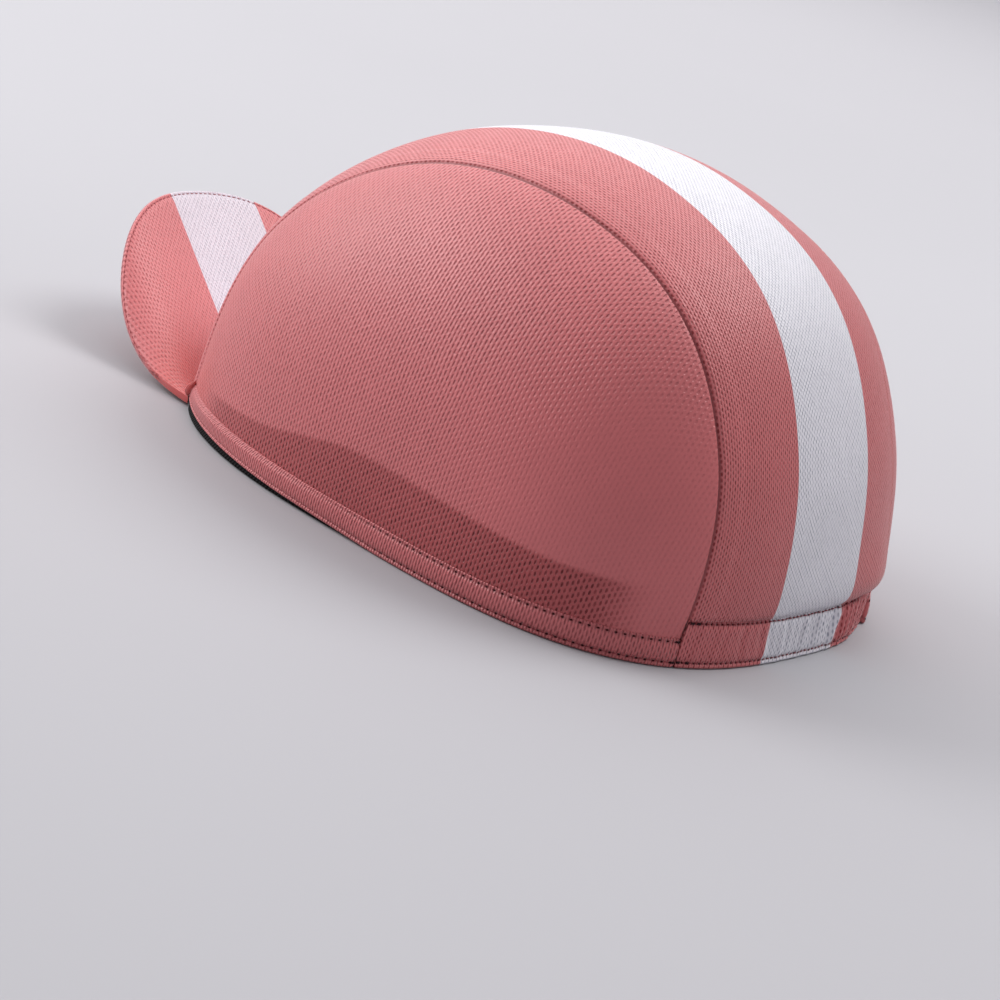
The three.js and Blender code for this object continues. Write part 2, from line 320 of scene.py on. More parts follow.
def smooth_table(rows, place, value):
    """A smooth line through a table's rows, level past its ends."""
    places = [row[place] for row in rows]
    values = [row[value] for row in rows]
    last = len(rows) - 1
    slopes = []
    for i in range(last + 1):
        before = max(i - 1, 0)
        after = min(i + 1, last)
        slopes.append((values[after] - values[before]) / (places[after] - places[before]))

    def read(anywhere):
        at = min(max(anywhere, places[0]), places[-1])
        i = min(bisect.bisect_right(places, at) - 1, last - 1)
        span = places[i + 1] - places[i]
        t = (at - places[i]) / span
        leaving = (1 + 2 * t) * values[i] + t * span * slopes[i]
        coming = (3 - 2 * t) * values[i + 1] - (1 - t) * span * slopes[i + 1]
        return (1 - t) ** 2 * leaving + t**2 * coming

    return read


def turn_of(y, rise):
    """The turn of a place about the fan line, in degrees: 0 at the front, 90 at the top."""
    turn = math.degrees(math.atan2(rise, -y))
    return turn + 360 if turn < -90 else turn


middle = []
for row in MIDDLE_LINE:
    y = -row["along"] * (FRONT_REACH if row["along"] > 0 else REAR_REACH)
    rise = row["up"] * (CROWN_HEIGHT - FAN_HEIGHT)
    middle.append(dict(turn=turn_of(y, rise), reach=math.hypot(y, rise)))
reach_at = smooth_table(middle, "turn", "reach")
squareness_at = smooth_table(SECTIONS, "turn", "squareness")
seam_at = smooth_table(SECTIONS, "turn", "seam")


def fullness(offset):
    """Below 1 inside the crown's outer surface and 1 on it, for an offset from the fan line."""
    turn = turn_of(offset.y, offset.z)
    power = squareness_at(turn)
    across = abs(offset.x / HALF_WIDTH) ** power
    lengthwise = (math.hypot(offset.y, offset.z) / reach_at(turn)) ** power
    return (across + lengthwise) ** (1 / power)


def widening(y):
    """The crown is fuller towards its front and back than its plain sections."""
    return 1 + END_FULLNESS * (y / FRONT_REACH) ** 2


def filled(offset):
    return Vector((offset.x * widening(offset.y), offset.y, offset.z)) + FAN


def unfilled(place):
    offset = place - FAN
    offset.x /= widening(offset.y)
    return offset


def along(direction, inset=0.0):
    """The place where a ray from the fan line's middle meets the crown, less an inset."""
    reach = direction.length / fullness(direction)
    return filled(direction.normalized() * (reach - inset))


def at_level(bearing, height, inset=0.0):
    """The place on the crown at a height and a bearing, 0 in front and 90 at the left."""
    angle = math.radians(bearing)
    ray = Vector((math.sin(angle), -math.cos(angle), 0))
    base = Vector((0, 0, height - FAN_HEIGHT))
    low, high = 0.0, 2 * (FRONT_REACH + REAR_REACH)
    for _ in range(HALVINGS):
        half = (low + high) / 2
        if fullness(base + ray * half) > 1:
            high = half
        else:
            low = half
    return filled(base + ray * (low - inset))


def across_at(turn, across):
    """The offset of a place across the middle line, at a turn about the fan line."""
    power = squareness_at(turn)
    reach = reach_at(turn) * (1 - abs(across / HALF_WIDTH) ** power) ** (1 / power)
    angle = math.radians(turn)
    return Vector((across, -reach * math.cos(angle), reach * math.sin(angle)))


def seam_offset(turn):
    return across_at(turn, seam_at(turn) * HALF_WIDTH)


def turn_at_height(offset_at, height, behind):
    """The turn at which a line across the crown comes down to a height."""
    low, high = REAR_TURNS if behind else FRONT_TURNS
    for _ in range(HALVINGS):
        half = (low + high) / 2
        above = offset_at(half).z + FAN_HEIGHT > height
        if above == behind:
            low = half
        else:
            high = half
    return low


def bearing_of(offset):
    return math.degrees(math.atan2(offset.x, -offset.y))


@functools.cache
def seam_bearing(height, behind):
    return bearing_of(seam_offset(turn_at_height(seam_offset, height, behind)))


def bearing_step(length):
    """The bearing that a length takes along the rim, near enough at any place."""
    return math.degrees(length / HALF_WIDTH)


def bump(distance, reach):
    """1 at no distance, falling smoothly to 0."""
    return math.exp(-((distance / reach) ** 2))


def smooth_step(low, high, value):
    t = min(max((value - low) / (high - low), 0.0), 1.0)
    return t * t * (3 - 2 * t)


def cloth_piece(name, columns, rows, place, material, inside=None, wall=0.0, rounds=0):
    """A grid of cloth bent to shape. place(u, v) gives a point, its place on the flat cloth and
    its marks. Ends that meet are merged. An open sheet faces away from inside and gets a wall."""
    bm = bmesh.new()
    bmesh.ops.create_grid(bm, x_segments=columns, y_segments=rows, size=0.5)
    cloth = bm.loops.layers.uv.new("cloth")
    marks = {mark: bm.verts.layers.float.new(mark) for mark in place(0.5, 0.5)[2]}
    flat = {}
    for corner in bm.verts:
        point, flat[corner], found = place(corner.co.x + 0.5, corner.co.y + 0.5)
        corner.co = point
        for mark, layer in marks.items():
            corner[layer] = found[mark]
    for face in bm.faces:
        face.smooth = True
        for loop in face.loops:
            loop[cloth].uv = flat[loop.vert]
    bmesh.ops.remove_doubles(bm, verts=bm.verts, dist=0.001 * MM)
    if inside is None:
        open_edges = [edge for edge in bm.edges if edge.is_boundary]
        bmesh.ops.holes_fill(bm, edges=open_edges, sides=0)
        bmesh.ops.recalc_face_normals(bm, faces=bm.faces)
    else:
        bmesh.ops.recalc_face_normals(bm, faces=bm.faces)
        outward = sum(face.normal.dot(face.calc_center_median() - inside) for face in bm.faces)
        if outward < 0:
            bmesh.ops.reverse_faces(bm, faces=bm.faces)
    piece = new_object(name, bm, material)
    if wall:
        layer = piece.modifiers.new("wall", "SOLIDIFY")
        layer.thickness = wall
        layer.offset = -1
    if rounds:
        rounding = piece.modifiers.new("rounding", "SUBSURF")
        rounding.levels = rounds
        rounding.render_levels = rounds
    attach(piece, "root")
    return piece


def flipped(place):
    """The same place function for the wearer's right side."""

    def other(u, v):
        point, flat, marks = place(u, v)
        return Vector((-point.x, point.y, point.z)), (-flat[0], flat[1]), marks

    return other


def group_nodes(name, inputs, outputs):
    """A shader node group with named sockets, its nodes, and what its inputs give."""
    tree = bpy.data.node_groups.new(name, "ShaderNodeTree")
    for socket, kind in inputs:
        tree.interface.new_socket(socket, in_out="INPUT", socket_type="NodeSocket" + kind)
    for socket in outputs:
        tree.interface.new_socket(socket, in_out="OUTPUT", socket_type="NodeSocketFloat")
    nodes = Nodes(tree)
    return tree, nodes, nodes.add("NodeGroupInput").outputs


def dimpled_knit():
    """Narrow dimples down every wale, each wale half a course off the next, with a rounded rib
    between them. Cloth is the place on the flat cloth in metres."""
    inputs = (("Cloth", "Vector"), ("Wale", "Float"), ("Course", "Float"), ("Rib", "Float"))
    tree, nodes, given = group_nodes("dimpled_knit", inputs, ("Height", "Dimple", "Thread"))
    at = nodes.add("ShaderNodeSeparateXYZ", Vector=given["Cloth"]).outputs
    wandering = nodes.add("ShaderNodeTexNoise", Vector=given["Cloth"], Scale=SWAY_SCALE).outputs[0]
    sway = nodes.math("MULTIPLY", nodes.math("SUBTRACT", wandering, 0.5), WALE_SWAY)
    column = nodes.math("ADD", nodes.math("DIVIDE", at["X"], given["Wale"]), sway)
    wale = nodes.math("FLOOR", column)
    stagger = nodes.math("MULTIPLY_ADD", nodes.math("FLOORED_MODULO", wale, 2.0), 0.5, sway)
    course = nodes.math("ADD", nodes.math("DIVIDE", at["Y"], given["Course"]), stagger)
    aside = nodes.math("SUBTRACT", nodes.math("FRACT", column), 0.5)
    above = nodes.math("SUBTRACT", nodes.math("FRACT", course), 0.5)
    aside = nodes.math("DIVIDE", aside, DIMPLE_WIDTH)
    above = nodes.math("DIVIDE", above, DIMPLE_HEIGHT)
    away = nodes.math("ADD", nodes.math("POWER", aside, 2.0), nodes.math("POWER", above, 2.0))
    cell = nodes.add("ShaderNodeCombineXYZ", X=wale, Y=nodes.math("FLOOR", course)).outputs[0]
    chance = nodes.add("ShaderNodeTexWhiteNoise", Vector=cell).outputs["Value"]
    depth = nodes.math("MULTIPLY_ADD", chance, 1 - DIMPLE_SHALLOWEST, DIMPLE_SHALLOWEST)
    hollow = nodes.math("SUBTRACT", 1.0, nodes.ramp(away, *DIMPLE_RIM))
    dimple = nodes.math("MULTIPLY", hollow, depth)
    rib = nodes.math("COSINE", nodes.math("MULTIPLY", column, 2 * math.pi))
    fuzz = nodes.add("ShaderNodeTexNoise", Vector=given["Cloth"], Scale=FUZZ_SCALE).outputs[0]
    thread = nodes.math("MULTIPLY_ADD", rib, given["Rib"], fuzz)
    between = nodes.math("SUBTRACT", 1.0, dimple)
    height = nodes.math("MULTIPLY_ADD", thread, THREAD_RELIEF, between)
    nodes.add("NodeGroupOutput", Height=height, Dimple=dimple, Thread=thread)
    return tree


knit_group = dimpled_knit()
HOLE_RIM = (0.1 * MM, 0.38 * MM)
PULL_REACH = (0.1 * MM, 0.9 * MM)
HOLE_LENGTHENED = 0.6


def stitch_holes():
    """Masks of the holes where a thread goes down, which are painted dark as shade, spaced along one
    row on the cloth, and of the pull of the thread between them."""
    inputs = (("Cloth", "Vector"), ("Row", "Float"), ("Pitch", "Float"))
    tree, nodes, given = group_nodes("stitch_holes", inputs, ("Hole", "Pull"))
    at = nodes.add("ShaderNodeSeparateXYZ", Vector=given["Cloth"]).outputs
    beside = nodes.math("ABSOLUTE", nodes.math("SUBTRACT", at["Y"], given["Row"]))
    step = nodes.math("DIVIDE", at["X"], given["Pitch"])
    near = nodes.math("ABSOLUTE", nodes.math("SUBTRACT", nodes.math("FRACT", step), 0.5))
    near = nodes.math("MULTIPLY", nodes.math("SUBTRACT", 0.5, near), given["Pitch"])
    near = nodes.math("MULTIPLY", near, HOLE_LENGTHENED)
    away = nodes.math("SQRT", nodes.math(
        "ADD", nodes.math("POWER", beside, 2.0), nodes.math("POWER", near, 2.0)))
    hole = nodes.math("SUBTRACT", 1.0, nodes.ramp(away, *HOLE_RIM))
    pull = nodes.math("SUBTRACT", 1.0, nodes.ramp(beside, *PULL_REACH))
    nodes.add("NodeGroupOutput", Hole=hole, Pull=pull)
    return tree


holes_group = stitch_holes()
STRIPE_WHITE = srgb(234, 231, 238)
# The stripe's dimples are painted grey-blue shade, as the pink ones are.
STRIPE_DIMPLE_SHADE = srgb(160, 164, 180)
# Painted shade in the needle holes.
STITCH_HOLE_SHADE = srgb(56, 6, 12)
# Painted shade where the cloth dips into a seam, and along the pull of each stitch row.
SEAM_SHADE = srgb(112, 26, 32)
STITCH_PITCH = 2.3 * MM
STRIPE_EDGE = 0.12 * MM
SEAM_SHADE_RIM = (0.15 * MM, 0.6 * MM)
SEAM_SHADE_SHARE = 0.65
PULL_SHADE_SHARE = 0.3
PULL_DEPTH = 0.6


def knit_material(name, wale=WALE, course=COURSE, relief=KNIT_RELIEF, contrast=0.45, rib=0.15,
                  white=STRIPE_WHITE, stitch_rows=(), pitch=STITCH_PITCH, marks=()):
    """Pink dimpled knit with its stitch holes, and what its piece's marks give it: the printed white
    stripe, the black band's show-through, places in flat light where the painted dimple shade and
    the relief are turned down, painted warm light where light comes through the cloth, with painted
    shade at the peak's root, and painted shade in the line where it dips into a seam. The dimples,
    the stitch holes and the pull of the stitch rows are painted darker as shade."""
    material, nodes = new_material(name)
    cloth = nodes.add("ShaderNodeUVMap", {"uv_map": "cloth"}).outputs[0]
    knit = nodes.add("ShaderNodeGroup", {"node_tree": knit_group}, Cloth=cloth, Wale=wale,
                     Course=course, Rib=rib)
    mark = {
        word: nodes.add("ShaderNodeAttribute", {"attribute_name": word}).outputs["Fac"]
        for word in marks
    }
    dimple = nodes.math("MULTIPLY", knit.outputs["Dimple"], contrast)
    height = knit.outputs["Height"]
    ground, pit_shade = PINK, PINK_DIMPLE_SHADE
    # Painted light: where the light is flat the painted dimple shade is turned down, and the relief
    # with it.
    if "slack" in mark:
        knit_shown = nodes.math("MULTIPLY_ADD", mark["slack"], -FLAT_LIGHT_FADES, 1.0)
        dimple = nodes.math("MULTIPLY", dimple, knit_shown)
        height = nodes.math("MULTIPLY", height, knit_shown)
    if "glow" in mark:
        # Painted warm light, a deeper red than the cloth.
        ground = nodes.mix(mark["glow"], ground, PAINTED_GLOW)
    if "over_band" in mark:
        over = mark["over_band"]
        opened = nodes.math("MULTIPLY_ADD", over, STRETCH_OPENS, 1.0)
        dimple = nodes.math("MULTIPLY", dimple, opened)
        ground = nodes.mix(over, ground, PINK_OVER_BLACK)
        pit_shade = nodes.mix(over, PINK_DIMPLE_SHADE, DARK_OVER_BLACK)
    if "stripe" in mark:
        inside = nodes.ramp(mark["stripe"], -STRIPE_EDGE, STRIPE_EDGE)
        ground = nodes.mix(inside, ground, white)
        pit_shade = nodes.mix(inside, pit_shade, STRIPE_DIMPLE_SHADE)
    # Painted shade: each dimple is darkened towards its pit colour.
    colour = nodes.mix(dimple, ground, pit_shade)
    # Painted shade in the dip of the seam.
    if "to_seam" in mark:
        line = nodes.math("SUBTRACT", 1.0, nodes.ramp(mark["to_seam"], *SEAM_SHADE_RIM))
        colour = nodes.mix(nodes.math("MULTIPLY", line, SEAM_SHADE_SHARE), colour, SEAM_SHADE)
    place = nodes.add("ShaderNodeTexCoord").outputs["Object"]
    patches = nodes.add("ShaderNodeTexNoise", Vector=place, Scale=PATCH_SCALE, Detail=3.0)
    shade = nodes.math("MULTIPLY_ADD", patches.outputs[0], PATCH_SHADE, 1 - PATCH_SHADE / 2)
    lit = nodes.math("MULTIPLY_ADD", knit.outputs["Thread"], THREAD_SHADING, 1 - THREAD_SHADING / 2)
    tone = nodes.math("MULTIPLY", shade, lit)
    grey = nodes.add("ShaderNodeCombineColor", in0=tone, in1=tone, in2=tone).outputs[0]
    colour = nodes.add(
        "ShaderNodeMix", {"data_type": "RGBA", "blend_type": "MULTIPLY"}, in0=1.0, in6=colour,
        in7=grey).outputs[2]
    dark = nodes.math("MULTIPLY", dimple, DIMPLE_DARK)
    for row in stitch_rows:
        sewn = nodes.add("ShaderNodeGroup", {"node_tree": holes_group}, Cloth=cloth, Row=row,
                         Pitch=pitch)
        hole, pull = sewn.outputs["Hole"], sewn.outputs["Pull"]
        if "sewn" in mark:
            hole = nodes.math("MULTIPLY", hole, mark["sewn"])
            pull = nodes.math("MULTIPLY", pull, mark["sewn"])
        # Painted shade along the pulled stitch row.
        colour = nodes.mix(nodes.math("MULTIPLY", pull, PULL_SHADE_SHARE), colour, SEAM_SHADE)
        # Painted shade in the needle holes.
        colour = nodes.mix(hole, colour, STITCH_HOLE_SHADE)
        dark = nodes.math("MAXIMUM", dark, hole)
        height = nodes.math("SUBTRACT", height, nodes.math("MULTIPLY_ADD", pull, PULL_DEPTH, hole))
    normal = nodes.add(
        "ShaderNodeBump", Strength=1.0, Distance=relief, Height=height).outputs[0]
    rough = nodes.math("MULTIPLY_ADD", dimple, DIMPLE_ROUGHNESS, KNIT_ROUGHNESS)
    sheen = nodes.math("MULTIPLY_ADD", dark, -KNIT_SHEEN, KNIT_SHEEN)
    shine = nodes.math("MULTIPLY_ADD", dark, DARK_SHINE - KNIT_SHINE, KNIT_SHINE)
    shaded(nodes, colour, rough, normal, Sheen_Weight=sheen, Sheen_Roughness=SHEEN_ROUGHNESS,
           Specular_IOR_Level=shine)
    return material


FRONT_FOOT = turn_at_height(seam_offset, HEM_HEIGHT, False)
REAR_FOOT = turn_at_height(seam_offset, HEM_HEIGHT, True)
FRONT_BEARING = seam_bearing(HEM_HEIGHT, False)
REAR_BEARING = seam_bearing(HEM_HEIGHT, True)
BAND_END = seam_bearing(0, True) - bearing_step(BAND_END_SPACE)
ARCH_SHARE = ARCH_STEPS / PANEL_STEPS


@functools.cache
def panel_edge(u):
    """The direction of the panel's edge, round its arch from the front and back along its foot."""
    if u <= ARCH_SHARE:
        turn = FRONT_FOOT + (REAR_FOOT - FRONT_FOOT) * u / ARCH_SHARE
        return seam_offset(turn).normalized()
    share = (u - ARCH_SHARE) / (1 - ARCH_SHARE)
    bearing = REAR_BEARING + (FRONT_BEARING - REAR_BEARING) * share
    return unfilled(at_level(bearing, HEM_HEIGHT)).normalized()


show_through_at = smooth_table(SHOW_THROUGH, "bearing", "height")
flat_light_middle = at_level(*FLAT_LIGHT_MIDDLE)
front_corner = at_level(FRONT_BEARING + bearing_step(GLOW_INWARD), HEM_HEIGHT)
PANEL_RIGHT = Vector((0, 1, 0))
PANEL_UP = PANEL_RIGHT.cross(PANEL_MIDDLE).normalized()


def side_panel(u, v):
    """Rings widen from the panel's middle, closest together near its edge."""
    edge = panel_edge(round(u, 6))
    share = math.sin(v * math.pi / 2)
    direction = PANEL_MIDDLE.lerp(edge, share)
    base = along(direction)
    to_edge = (along(edge) - base).length
    at_foot = smooth_step(ARCH_SHARE, ARCH_SHARE + FOOT_BLEND, u) * smooth_step(1, 1 - FOOT_BLEND, u)
    depth = SEAM_DEPTH + (FOOT_DEPTH - SEAM_DEPTH) * at_foot
    dip = SEAM_SHARPNESS * bump(to_edge, SEAM_REACH)
    dip += (1 - SEAM_SHARPNESS) * bump(to_edge, SEAM_ROLL)
    point = along(direction, depth * dip)
    spoke = edge - PANEL_MIDDLE
    angle = math.atan2(spoke.dot(PANEL_UP), spoke.dot(PANEL_RIGHT))
    length = (base - along(PANEL_MIDDLE)).length
    flat = (length * math.cos(angle), length * math.sin(angle))
    bearing = bearing_of(direction)
    edge_height = show_through_at(bearing) * MM
    over = 1 - smooth_step(-SHOW_THROUGH_BLUR, SHOW_THROUGH_BLUR, point.z - edge_height)
    over *= 1 - smooth_step(*SHOW_THROUGH_END, bearing - BAND_END)
    over *= smooth_step(*SHOW_THROUGH_START, bearing - FRONT_BEARING)
    marks = {
        "over_band": over,
        "to_seam": to_edge + FAR_OFF * at_foot,
        # flat light, where the painted dimple shade is turned down
        "slack": (1 - smooth_step(*FLAT_LIGHT_REACH, (point - flat_light_middle).length)) * (1 - over),
        "glow": GLOW_SHARE * bump((point - front_corner).length, GLOW_REACH),
    }
    return point, flat, marks


panel_knit = knit_material("panel_knit", marks=("over_band", "to_seam", "slack", "glow"))
for name, node, place in (
    ("left_panel_cloth", "left_panel", side_panel),
    ("right_panel_cloth", "right_panel", flipped(side_panel)),
):
    panel = cloth_piece(name, PANEL_STEPS, PANEL_RINGS, place, panel_knit, inside=FAN, wall=CLOTH)
    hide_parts(node)


# Centre panel: one long piece of the same knit from the peak over the top to the casing, with a
# white stripe printed down it. The seam allowances are pressed under it and show as a low ridge.
CASING_HEIGHT = 13 * MM
HEM_FRONT_LIFT = 2.7 * MM
STRIPE_HALF = 15.9 * MM
ALLOWANCE_WIDTH = 6.5 * MM
ALLOWANCE_RISE = 0.22 * MM
PUFF_RISE = 1.6 * MM
PUFF_HEIGHT = 6 * MM
# How much the cloth puffs out above the casing, from the right seam at -1 to the left one at 1.
PUFFS = (
    dict(share=-1.0, puff=0.5),
    dict(share=-0.75, puff=1.6),
    dict(share=-0.45, puff=1.1),
    dict(share=-0.1, puff=0.7),
    dict(share=0.3, puff=0.35),
    dict(share=0.7, puff=0.25),
    dict(share=1.0, puff=0.0),
)
RIDGE_FOOT = (0.4 * MM, 1.6 * MM)
RIDGE_FALL = 1 * MM
CENTRE_SPREAD = 1.1
CENTRE_COLUMNS = 110
CENTRE_ROWS = 190
TURN_STEP = 5


def walk(place_at, values):
    """Rows of the values, their places and the length walked to each from the first."""
    rows = []
    walked = 0.0
    for value in values:
        here = place_at(value)
        walked += (here - rows[-1]["place"]).length if rows else 0.0
        rows.append(dict(value=value, place=here, length=walked))
    return rows


puff_at = smooth_table(PUFFS, "share", "puff")
turns = range(FRONT_TURNS[0], REAR_TURNS[1] + 1, TURN_STEP)
length_along = smooth_table(walk(lambda turn: across_at(turn, 0), turns), "value", "length")


@functools.cache
def centre_ends(share):
    """The turns at which the line at a share of the panel's half width starts and ends."""

    def line(turn):
        return across_at(turn, share * seam_at(turn) * HALF_WIDTH)

    front = turn_at_height(line, HEM_FRONT_LIFT, False)
    rear = turn_at_height(line, CASING_HEIGHT, True)
    return front, rear


def centre_panel(u, v):
    share = math.sin((2 * u - 1) * math.pi / 2)
    front, rear = centre_ends(round(share, 7))
    turn = front + (rear - front) * v
    offset = across_at(turn, share * seam_at(turn) * HALF_WIDTH)
    to_seam = (Vector((abs(offset.x), offset.y, offset.z)) - seam_offset(turn)).length
    dip = SEAM_DEPTH * bump(to_seam, SEAM_REACH)
    ridge = smooth_step(*RIDGE_FOOT, to_seam)
    ridge *= smooth_step(ALLOWANCE_WIDTH + RIDGE_FALL, ALLOWANCE_WIDTH - RIDGE_FALL, to_seam)
    dip -= ALLOWANCE_RISE * ridge
    if turn > TOP_TURN:
        above_casing = (rear - turn) / (rear - front) * length_along(rear)
        lobe = above_casing / PUFF_HEIGHT
        dip -= PUFF_RISE * puff_at(share) * lobe * math.exp(1 - lobe)
    point = along(offset, dip)
    flat = (share * seam_at(TOP_TURN) * HALF_WIDTH * CENTRE_SPREAD, length_along(turn))
    stripe = STRIPE_HALF - abs(offset.x)
    return point, flat, {"stripe": stripe, "to_seam": to_seam}


centre_knit = knit_material("centre_knit", wale=0.8 * MM, course=1.7 * MM, relief=0.32 * MM,
                            contrast=0.8, marks=("stripe", "to_seam"))
centre = cloth_piece("centre_panel_cloth", CENTRE_COLUMNS, CENTRE_ROWS, centre_panel, centre_knit,
                     inside=FAN, wall=CLOTH)
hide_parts("centre_panel")


# Side hems: the foot of each side panel folded up inside and sewn down with two rows of dark red
# stitches, one along its top and one just above the rolled edge.
HEM_PROUD = 0.5 * MM
HEM_THICKNESS = 2.5 * MM
HEM_LOWER_ROW = 1.5 * MM
HEM_UPPER_ROW = 6.9 * MM
# The hem's section, once round: millimetres inside the crown's surface and shares of its height.
HEM_FOLD = (
    dict(inset=1.0, up=0.0),
    dict(inset=0.1, up=0.01),
    dict(inset=-0.35, up=0.07),
    dict(inset=-0.3, up=0.15),
    dict(inset=0.05, up=0.2),
    dict(inset=-0.4, up=0.28),
    dict(inset=-0.5, up=0.45),
    dict(inset=-0.5, up=0.65),
    dict(inset=-0.4, up=0.83),
    dict(inset=-0.1, up=0.92),
    dict(inset=-0.2, up=0.97),
    dict(inset=0.0, up=1.03),
    dict(inset=0.9, up=1.05),
    dict(inset=1.7, up=1.0),
    dict(inset=2.0, up=0.7),
    dict(inset=2.0, up=0.35),
    dict(inset=1.9, up=0.06),
)
# The hem along its length, from 0 at the front: how its foot rises, where it puffs out over the
# upper stitch row, and from where that row is tight.
HEM_LIFT_FALL = 1.9
HEM_LIFT_CURVE = 0.8
HEM_PUFF = 0.95 * MM
HEM_PUFF_AT = 0.78
HEM_PUFF_SPREAD = 0.16
HEM_PUFF_END = 0.5
HEM_PUFF_FULL = 0.1
HEM_SEWN = (0.4, 0.6)
HEM_SEWN_LEAST = 0.2
HEM_UPPER_ROW_START = 0.5
HEM_ROW_INSET = 0.02 * MM
HEM_STEPS = 190
BEARING_STEPS = 60


def even_bearings(first, last, height):
    """Bearings by the length walked along the crown at a height, and the whole length."""
    bearings = [first + (last - first) * i / BEARING_STEPS for i in range(BEARING_STEPS + 1)]
    rows = walk(lambda bearing: at_level(bearing, height), bearings)
    return smooth_table(rows, "length", "value"), rows[-1]["length"]


def loop_row(rows, v):
    """The row of a closed section at a share of the way round it."""
    return rows[round(v * len(rows)) % len(rows)]


hem_bearing, hem_length = even_bearings(FRONT_BEARING, REAR_BEARING, HEM_HEIGHT / 2)


def hem_line(share, height, inset):
    """A place on the hem, at a share of its length from the front. Its ends follow the seams."""
    bearing = hem_bearing(share * hem_length)
    bearing += (seam_bearing(round(height, 5), False) - FRONT_BEARING) * (1 - share)
    bearing += (seam_bearing(round(height, 5), True) - REAR_BEARING) * share
    return at_level(bearing, height, inset)


def hem_lift(share):
    """How far the hem's foot is drawn up, most at its front end."""
    return HEM_FRONT_LIFT * max(0.0, 1 - HEM_LIFT_FALL * share) ** HEM_LIFT_CURVE


def hem_level(share, up):
    """The height of a share of the hem's own height, above its lifted foot."""
    foot = hem_lift(share)
    return foot + (HEM_HEIGHT - foot) * up


def hem(u, v):
    fold = loop_row(HEM_FOLD, v)
    inset = fold["inset"] * MM
    if fold["inset"] < 0.5:
        puff = smooth_step(HEM_PUFF_END, HEM_PUFF_FULL, u) * smooth_step(0, HEM_PUFF_FULL, u)
        inset -= HEM_PUFF * puff * bump(fold["up"] - HEM_PUFF_AT, HEM_PUFF_SPREAD)
    point = hem_line(u, hem_level(u, fold["up"]), inset)
    marks = {"sewn": HEM_SEWN_LEAST + (1 - HEM_SEWN_LEAST) * smooth_step(*HEM_SEWN, u)}
    return point, (u * hem_length, fold["up"] * HEM_HEIGHT), marks


hem_knit = knit_material("hem_knit", wale=0.85 * MM, course=2.4 * MM, relief=0.3 * MM, rib=0.5,
                         contrast=0.5, stitch_rows=(HEM_LOWER_ROW, HEM_UPPER_ROW),
                         marks=("sewn",))
for name, node, place in (
    ("left_hem_cloth", "left_hem", hem),
    ("right_hem_cloth", "right_hem", flipped(hem)),
):
    piece = cloth_piece(name, HEM_STEPS, len(HEM_FOLD), place, hem_knit, rounds=1)
    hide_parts(node)


THREAD_WIDTH = 0.32 * MM
THREAD_PROUD = 0.15
TWIST_SCALE = 2600.0
TWIST_RELIEF = 0.08 * MM
STITCH_SPAN = (0.18, 0.82)
THREAD_ROUGHNESS = 0.6
THREAD_PINK = srgb(168, 74, 80)
THREAD_SHADE = srgb(112, 36, 44)


def thread_material(name, light, shade):
    """Twisted polyester thread."""
    material, nodes = new_material(name)
    place = nodes.add("ShaderNodeTexCoord").outputs["Object"]
    twist = nodes.add("ShaderNodeTexNoise", Vector=place, Scale=TWIST_SCALE, Detail=1.0).outputs[0]
    normal = nodes.add(
        "ShaderNodeBump", Strength=0.5, Distance=TWIST_RELIEF, Height=twist).outputs[0]
    colour = nodes.mix(twist, light, shade)
    shaded(nodes, colour, THREAD_ROUGHNESS, normal, Specular_IOR_Level=0.25)
    return material


stitch_thread = thread_material("stitch_thread", THREAD_PINK, THREAD_SHADE)


def add_stitch(bm, start, end, outward, width=THREAD_WIDTH):
    """One stitch, a short rounded length of thread whose ends go down into the cloth."""
    run = end - start
    sideways = outward.cross(run).normalized()
    upright = run.cross(sideways).normalized()
    if upright.dot(outward) < 0:
        upright = -upright
        sideways = -sideways
    turn = Matrix((sideways, upright, run.normalized())).transposed().to_4x4()
    size = Matrix.Diagonal((width / 2, width / 2, run.length / 2, 1))
    where = Matrix.Translation((start + end) / 2 + upright * width * THREAD_PROUD)
    bmesh.ops.create_uvsphere(
        bm, u_segments=6, v_segments=5, radius=1.0, matrix=where @ turn @ size)


def thread_piece(name, bm, material):
    """Ends a mesh of threads as a piece."""
    for face in bm.faces:
        face.smooth = True
    piece = new_object(name, bm, material)
    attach(piece, "root")


def stitch_piece(name, runs, pitch=STITCH_PITCH):
    """Stitches along each run, a function of the length walked that gives a place on the cloth
    and the way out of it. A stitch fills most of its pitch."""
    bm = bmesh.new()
    for surface, length in runs:
        for i in range(int(length / pitch)):
            start, outward = surface((i + STITCH_SPAN[0]) * pitch)
            end, _ = surface((i + STITCH_SPAN[1]) * pitch)
            add_stitch(bm, start, end, outward)
    thread_piece(name, bm, stitch_thread)


def level_outward(place):
    """The level way out of the cap at a place."""
    return (place - CROWN_MIDDLE - Vector((0, 0, place.z))).normalized()


def hem_row(height, side, start=0.0):
    """A stitch row along the hem of one side, 1 for the left and -1 for the right, from a share
    of its length."""

    def surface(walked):
        share = min(start + walked / hem_length, 1.0)
        point = hem_line(share, hem_level(share, height / HEM_HEIGHT), HEM_ROW_INSET)
        point.x *= side
        return point, level_outward(point)

    return surface, hem_length * (1 - start)


for name, side in (("left_hem_stitches", 1), ("right_hem_stitches", -1)):
    rows = [hem_row(HEM_LOWER_ROW, side), hem_row(HEM_UPPER_ROW, side, HEM_UPPER_ROW_START)]
    stitch_piece(name, rows)


# Rear casing: a folded band of the same knit, sewn to the centre panel's foot and drawn into
# small upright gathers by the elastic inside it. The stripe runs on down over it, and knots of
# dark thread hold the ends of its stitch rows.
CASING_DRAWN_IN = 1.3 * MM
DRAWN_IN_SHARES = (-0.45, -0.85)
CASING_LOWER_ROW = 1.6 * MM
CASING_UPPER_ROW = 12.2 * MM
CASING_PITCH = 1.65 * MM
